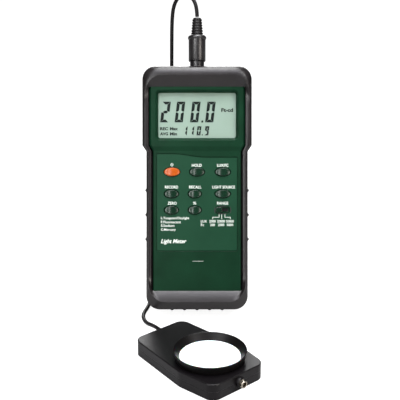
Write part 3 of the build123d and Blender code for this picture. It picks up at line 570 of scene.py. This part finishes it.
lens_edge = []
for cx, cv, start in ((29.5, 167.0, 0), (-29.5, 167.0, 90), (-29.5, 135.4, 180), (29.5, 135.4, 270)):
    lens_edge += [(cx + 2 * cos(radians(start + a)), cv + 2 * sin(radians(start + a))) for a in range(0, 91, 15)]
lens = finished("display_lens", plate(lens_edge, lcd + 0.3, 35.58), METER, window)
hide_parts("display_window")

# each digit's seven bars: top, upper right, lower right, bottom, lower left, upper left, middle
lit = {"0": "1111110", "1": "0110000", "2": "1101101", "9": "1111011"}


def digit(sign, x, v, width, height, bar, slant):
    """A seven-bar digit with mitred bar ends, its foot at v and its left edge at x."""
    half = height / 2
    g = 0.09 * bar
    ends = {
        0: ((0, height), (width, height), (width - bar, height - bar), (bar, height - bar)),
        3: ((0, 0), (bar, bar), (width - bar, bar), (width, 0)),
        1: ((width, height), (width, half + g), (width - bar / 2, half + g), (width - bar, half + bar / 2),
            (width - bar, height - bar)),
        2: ((width, half - g), (width, 0), (width - bar, bar), (width - bar, half - bar / 2),
            (width - bar / 2, half - g)),
        5: ((0, half + g), (0, height), (bar, height - bar), (bar, half + bar / 2), (bar / 2, half + g)),
        4: ((0, 0), (0, half - g), (bar / 2, half - g), (bar, half - bar / 2), (bar, bar)),
        6: ((bar / 2, half), (bar, half + bar / 2), (width - bar, half + bar / 2), (width - bar / 2, half),
            (width - bar, half - bar / 2), (bar, half - bar / 2)),
    }
    parts = []
    for number, on in enumerate(lit[sign]):
        if on == "1":
            cx = sum(p[0] for p in ends[number]) / len(ends[number])
            cy = sum(p[1] for p in ends[number]) / len(ends[number])
            # each bar is drawn a little smaller than its cell, which leaves the gaps between bars
            inner = [(cx + (px - cx) * 0.97, cy + (py - cy) * (0.9 if number in (0, 3, 6) else 0.97))
                     for px, py in ends[number]]
            parts.append(plate([(x + px + py * slant, v + py) for px, py in inner], lcd + 0.02, lcd + 0.06))
    return parts


def legend(text, x0, x1, v0, v1, w, slant=0.0, thick=0.0):
    """Lettering that fills the given box, its face at w."""
    font = bpy.data.curves.new("legend", "FONT")
    font.body = text
    font.shear = slant
    font.offset = thick
    font.extrude = 0.0
    font.resolution_u = 3
    thing = bpy.data.objects.new("legend", font)
    bpy.context.scene.collection.objects.link(thing)
    mesh = evaluated_text(thing)
    xs = [p.co.x for p in mesh.vertices]
    ys = [p.co.y for p in mesh.vertices]
    grow = ((x1 - x0) / (max(xs) - min(xs)), (v1 - v0) / (max(ys) - min(ys)))
    for p in mesh.vertices:
        p.co = (x0 + (p.co.x - min(xs)) * grow[0], v0 + (p.co.y - min(ys)) * grow[1], w)
    return mesh


def evaluated_text(thing):
    graph = bpy.context.evaluated_depsgraph_get()
    mesh = bpy.data.meshes.new_from_object(thing.evaluated_get(graph))
    bpy.data.objects.remove(thing)
    return mesh


reading = []
for sign, x in zip("2000", (-28.9, -17.6, -5.6, 6.2)):
    reading += digit(sign, x, 145.8, 6.5, 16.4, 2.4, 0.12)
reading.append(plate([(3.3, 145.8), (4.7, 145.8), (4.9, 147.4), (3.5, 147.4)], lcd + 0.02, lcd + 0.06))
for sign, x in zip("1109", (-11.2, -6.0, -0.5, 5.7)):
    reading += digit(sign, x, 135.7, 3.1, 7.3, 1.35, 0.12)
reading.append(plate([(3.6, 135.7), (4.4, 135.7), (4.5, 136.6), (3.7, 136.6)], lcd + 0.02, lcd + 0.06))
shown = finished("display_digits", joined(reading), METER, segments)
words = [
    legend(text, x0, x1, v0, v1, lcd + 0.06, thick=0.045) for text, x0, x1, v0, v1 in (
        ("Ft-cd", 18.9, 28.1, 154.0, 157.0), ("REC", -28.9, -22.6, 139.7, 142.2), ("Max", -21.2, -14.9, 139.7, 142.2),
        ("AVG", -28.9, -22.6, 135.7, 138.2), ("Min", -21.2, -15.6, 135.7, 138.2),
    )
]
finished("display_words", joined(words), METER, segments)

print_face = face + 0.03
labels = [
    ("HOLD", -4.0, 3.6, 111.1, 113.3), ("LUX/FC", 15.6, 24.4, 111.1, 113.3),
    ("RECORD", -24.9, -14.7, 94.2, 96.4), ("RECALL", -6.1, 3.3, 94.2, 96.4),
    ("LIGHT SOURCE", 11.9, 29.5, 94.2, 96.4), ("ZERO", -22.7, -15.9, 81.7, 83.9),
    ("%", -3.2, -0.6, 81.7, 83.9), ("RANGE", 15.6, 24.2, 81.7, 83.9),
    ("L:Tungsten/Daylight", -28.0, -6.1, 69.8, 72.2), ("F:Fluorescent", -28.0, -12.6, 67.2, 69.1),
    ("S:Sodium", -28.0, -17.7, 64.4, 66.3), ("C:Mercury", -28.0, -16.6, 60.9, 63.2),
    ("LUX", 3.0, 7.6, 67.8, 69.7), ("2000", 9.5, 14.4, 67.8, 69.7), ("20000", 15.6, 21.7, 67.8, 69.7),
    ("50000", 22.6, 28.5, 67.8, 69.7), ("Fc", 3.0, 5.4, 65.0, 66.9), ("200", 10.2, 13.8, 65.0, 66.9),
    ("2000", 16.2, 21.1, 65.0, 66.9), ("5000", 23.1, 28.0, 65.0, 66.9),
]
printed = [legend(text, x0, x1, v0, v1, print_face, thick=0.009 if v0 > 76 else 0.004)
           for text, x0, x1, v0, v1 in labels]
printed.append(legend("Light Meter", -28.0, -8.3, 50.7, 54.9, print_face, slant=0.3, thick=0.012))
# power mark: a ring broken by a short bar
mark = []
for k in range(21):
    a = radians(120 + 300 * k / 20)
    mark.append(((-19.5 + 1.1 * cos(a), 112.6 + 1.1 * sin(a), print_face),
                 (-19.5 + 0.78 * cos(a), 112.6 + 0.78 * sin(a), print_face)))
printed.append(meshed([p for pair in mark for p in pair],
                      [(2 * k, 2 * k + 1, 2 * k + 3, 2 * k + 2) for k in range(20)]))
for corners in (
    ((-19.66, 112.6), (-19.34, 112.6), (-19.34, 114.1), (-19.66, 114.1)),
    ((17.0, 72.0), (17.3, 72.0), (17.3, 74.1), (17.0, 74.1)), ((12.0, 71.7), (17.3, 71.7), (17.3, 72.0), (12.0, 72.0)),
    ((12.0, 70.3), (12.3, 70.3), (12.3, 71.7), (12.0, 71.7)), ((19.0, 70.3), (19.3, 70.3), (19.3, 74.1), (19.0, 74.1)),
    ((21.5, 72.0), (21.8, 72.0), (21.8, 74.1), (21.5, 74.1)), ((21.5, 71.7), (26.0, 71.7), (26.0, 72.0), (21.5, 72.0)),
    ((25.7, 70.3), (26.0, 70.3), (26.0, 71.7), (25.7, 71.7)), ((-3.8, 37.65), (4.8, 37.65), (4.8, 37.8), (-3.8, 37.8)),
):
    printed.append(meshed([(x, v, print_face) for x, v in corners], [(0, 1, 2, 3)]))
for mesh in printed:
    for polygon in mesh.polygons:
        if polygon.normal.z < 0:
            polygon.flip()
finished("panel_print", joined(printed), METER, ink)


# a flat near-black ring round the range slider's opening, painted shade standing for the recess there, and three
# finger ridges across its knob
slot_x, slot_v, slot_half, slot_rise = 19.9, 77.5, 5.95, 2.72
shade_ring_half, shade_ring_rise, steps = 6.6, 3.35, 96
shade_ring = []
for k in range(steps):
    c, s = cos(2 * pi * k / steps), sin(2 * pi * k / steps)
    reach = 1 / max(abs(c) / slot_half, abs(s) / slot_rise)
    shade_ring.append((slot_x + max(shade_ring_half * c, reach * c, key=abs), slot_v + max(shade_ring_rise * s, reach * s, key=abs)))
    shade_ring.append((slot_x + reach * c, slot_v + reach * s))
faces = [[(2 * k + step) % (2 * steps) for step in (0, 1, 3, 2)] for k in range(steps)]
finished("slider_painted_shade_ring", meshed([(x, v, print_face - 0.01) for x, v in shade_ring], faces), METER, epoxy)
slider = nodes["range_slider"]
top = max((METER.inverted() @ (slider.matrix_world @ p.co)).z for p in slider.data.vertices)
middle_x = sum((METER.inverted() @ Vector(c)).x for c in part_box("range_slider")) / 2
ridge_half, ridge_pitch, ridge_rise, ridge_long = 0.32, 1.8, 0.45, 2.0
ridges = []
for x in (middle_x - ridge_pitch, middle_x, middle_x + ridge_pitch):
    low, high = x - ridge_half, x + ridge_half
    corners = [(low, slot_v - ridge_long), (high, slot_v - ridge_long), (high, slot_v + ridge_long),
               (low, slot_v + ridge_long)]
    ridges.append(plate(corners, top - 0.05, top + ridge_rise))
finished("slider_ridges", joined(ridges), METER, green_key, "range_slider")


# ---------------------------------------------------------------- plug
sleeve = turned([
    (0.0, 185.2), (5.5, 185.2), (5.6, 185.4), (5.6, 195.3), (6.0, 195.5), (6.5, 195.6), (6.75, 195.95),
    (6.75, 212.7), (6.85, 213.1), (7.2, 213.4), (7.35, 213.8), (7.3, 214.7), (6.7, 215.7), (5.9, 216.2), (0.0, 216.3),
])
shown = finished("plug_sleeve_turned", sleeve, PLUG, nylon, sharp=40)
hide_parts("plug_sleeve")
tip, foot = 230.0, 216.2
cone = turned([(0.0, foot), (4.4, foot), (4.25, foot + 1), (3.45, tip - 1.2), (3.3, tip - 0.3), (3.0, tip),
               (0.0, tip)])
collars = grown(stack, {"Count": 6, "Pitch": 2.15, "First Radius": 4.15, "Last Radius": 3.35, "Wire": 0.165},
                boot_rubber)
collars.transform(Matrix.Translation((0, 0, foot + 1.5)))
boot = finished("plug_boot_ribbed", joined([cone, collars]), PLUG, boot_rubber, sharp=50)
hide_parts("plug_boot")

# ---------------------------------------------------------------- sensor head
disc = sum(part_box("diffuser"), Vector()) / 2
DISC = HEAD @ Matrix.Translation((HEAD.inverted() @ disc) * Vector((1, 1, 0)))
hood = turned([
    (22.0, 12.0), (23.6, 12.0), (23.75, 12.2), (23.95, 12.7), (25.3, 17.5), (25.5, 18.2), (25.4, 18.5), (25.15, 18.6),
    (24.85, 18.5), (24.6, 18.1), (21.75, 14.35), (21.4, 13.9), (21.35, 12.5), (19.8, 12.4), (19.8, 12.0),
], closed=True, around=128)
shown = finished("hood_ring", hood, DISC, hood_plastic, sharp=40)
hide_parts("sensor_hood")
dome = turned([(0.0, 12.42), (21.1, 12.42), (21.3, 12.6), (21.3, 13.5), (21.15, 13.8), (20.7, 13.97), (15.0, 14.1),
               (8.0, 14.17), (0.0, 14.2)], around=128)
shown = finished("opal_disc", dome, DISC, opal, sharp=40)
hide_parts("diffuser")
BUSH = HEAD @ Matrix(((0, 0, 1, 0), (1, 0, 0, 0), (0, 1, 0, 6.3), (0, 0, 0, 1)))
bush = turned([(1.6, 39.0), (2.7, 39.0), (2.7, 47.3), (2.62, 47.7), (2.35, 47.97), (2.0, 48.0), (1.72, 47.9),
               (1.6, 47.6)], closed=True, around=64)
shown = finished("nose_bush", bush, BUSH, nickel, sharp=40)
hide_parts("end_bush")
# a near-black disc that closes the bush's bore, painted shade for the hole's depth
plug_disc = turned([(0.0, 39.4), (1.58, 39.4), (1.58, 40.4), (0.0, 40.4)], around=48)
finished("bush_floor", plug_disc, BUSH, painted_shade_bore)
boss = turned([(2.72, 41.0), (3.55, 41.0), (3.55, 44.2), (3.3, 44.9), (2.72, 45.2)], closed=True, around=64)
finished("bush_seat", boss, BUSH, case, sharp=40)

# ---------------------------------------------------------------- bench and lamps
bench = bpy.data.objects.new("bench", bpy.data.meshes.new("bench"))
bench.data.from_pydata([(-60, -60, 0), (60, -60, 0), (60, 60, 0), (-60, 60, 0)], [], [(0, 1, 2, 3)])
# matt paper, lit again for the camera alone, so that it stays white without brightening the black mouldings
paper, t, s, p = material("matt_white_paper", "#a8a8a8", 0.9, **{
    "Emission Color": grey(0.88), "Specular IOR Level": 0.0})
t.links.new(add(t, "ShaderNodeLightPath").outputs["Is Camera Ray"], s.inputs["Emission Strength"])
bench.data.materials.append(paper)
bpy.context.scene.collection.objects.link(bench)
# softboxes: overhead, a narrow one near the camera for the keys, one at each side, one for the bumper's slope
# below the face, and one behind
aim = Vector((0, 0, 0.08))
for spot, width, height, power, tint in (
    ((0.05, -0.03, 1.15), 0.75, 0.5, 16.0, "#ffffff"), ((-0.22, -0.74, 0.42), 0.07, 0.6, 1.7, "#ffffff"),
    ((-0.5, -0.62, 0.42), 0.1, 0.6, 3.2, "#ffffff"), ((0.6, -0.6, 0.22), 0.3, 0.36, 3.2, "#fff6ee"),
    ((0.0, -0.42, 1.0), 0.8, 0.22, 3.8, "#f2f0ff"), ((0.0, 0.95, 0.5), 0.5, 0.5, 5.0, "#ffffff"),
):
    lamp = bpy.data.lights.new("softbox", "AREA")
    lamp.shape = "RECTANGLE"
    lamp.size = width
    lamp.size_y = height
    lamp.energy = power
    lamp.color = rgb(tint)[:3]
    thing = bpy.data.objects.new("softbox", lamp)
    thing.location = spot
    thing.rotation_euler = (aim - Vector(spot)).to_track_quat("-Z", "Y").to_euler()
    bpy.context.scene.collection.objects.link(thing)
for spot, power, spread in (((0.75, -0.45, 1.0), 0.95, 14), ((-0.5, -0.5, 1.0), 0.25, 30)):
    sun = bpy.data.lights.new("sun", "SUN")
    sun.energy = power
    sun.angle = radians(spread)
    thing = bpy.data.objects.new("sun", sun)
    thing.rotation_euler = (-Vector(spot)).to_track_quat("-Z", "Y").to_euler()
    bpy.context.scene.collection.objects.link(thing)
# the room: dim walls and a brighter ceiling light the piece, and the wall in view is white
world = bpy.data.worlds.new("studio")
bpy.context.scene.world = world
world.use_nodes = True
sky = world.node_tree
sky.nodes.clear()
coords = add(sky, "ShaderNodeTexCoord")
parts = add(sky, "ShaderNodeSeparateXYZ", {"Vector": coords.outputs["Generated"]})
ceiling = add(sky, "ShaderNodeMapRange", {"Value": parts.outputs["Z"], "From Min": 0.1, "From Max": 0.95,
                                          "To Min": 0.035, "To Max": 0.26})
direct = add(sky, "ShaderNodeLightPath")
wall = add(sky, "ShaderNodeMath", {0: ceiling.outputs[0], 1: direct.outputs["Is Camera Ray"]}, operation="MAXIMUM")
room = add(sky, "ShaderNodeBackground", {"Color": rgb("#ffffff"), "Strength": wall.outputs[0]})
add(sky, "ShaderNodeOutputWorld", {"Surface": room.outputs[0]})
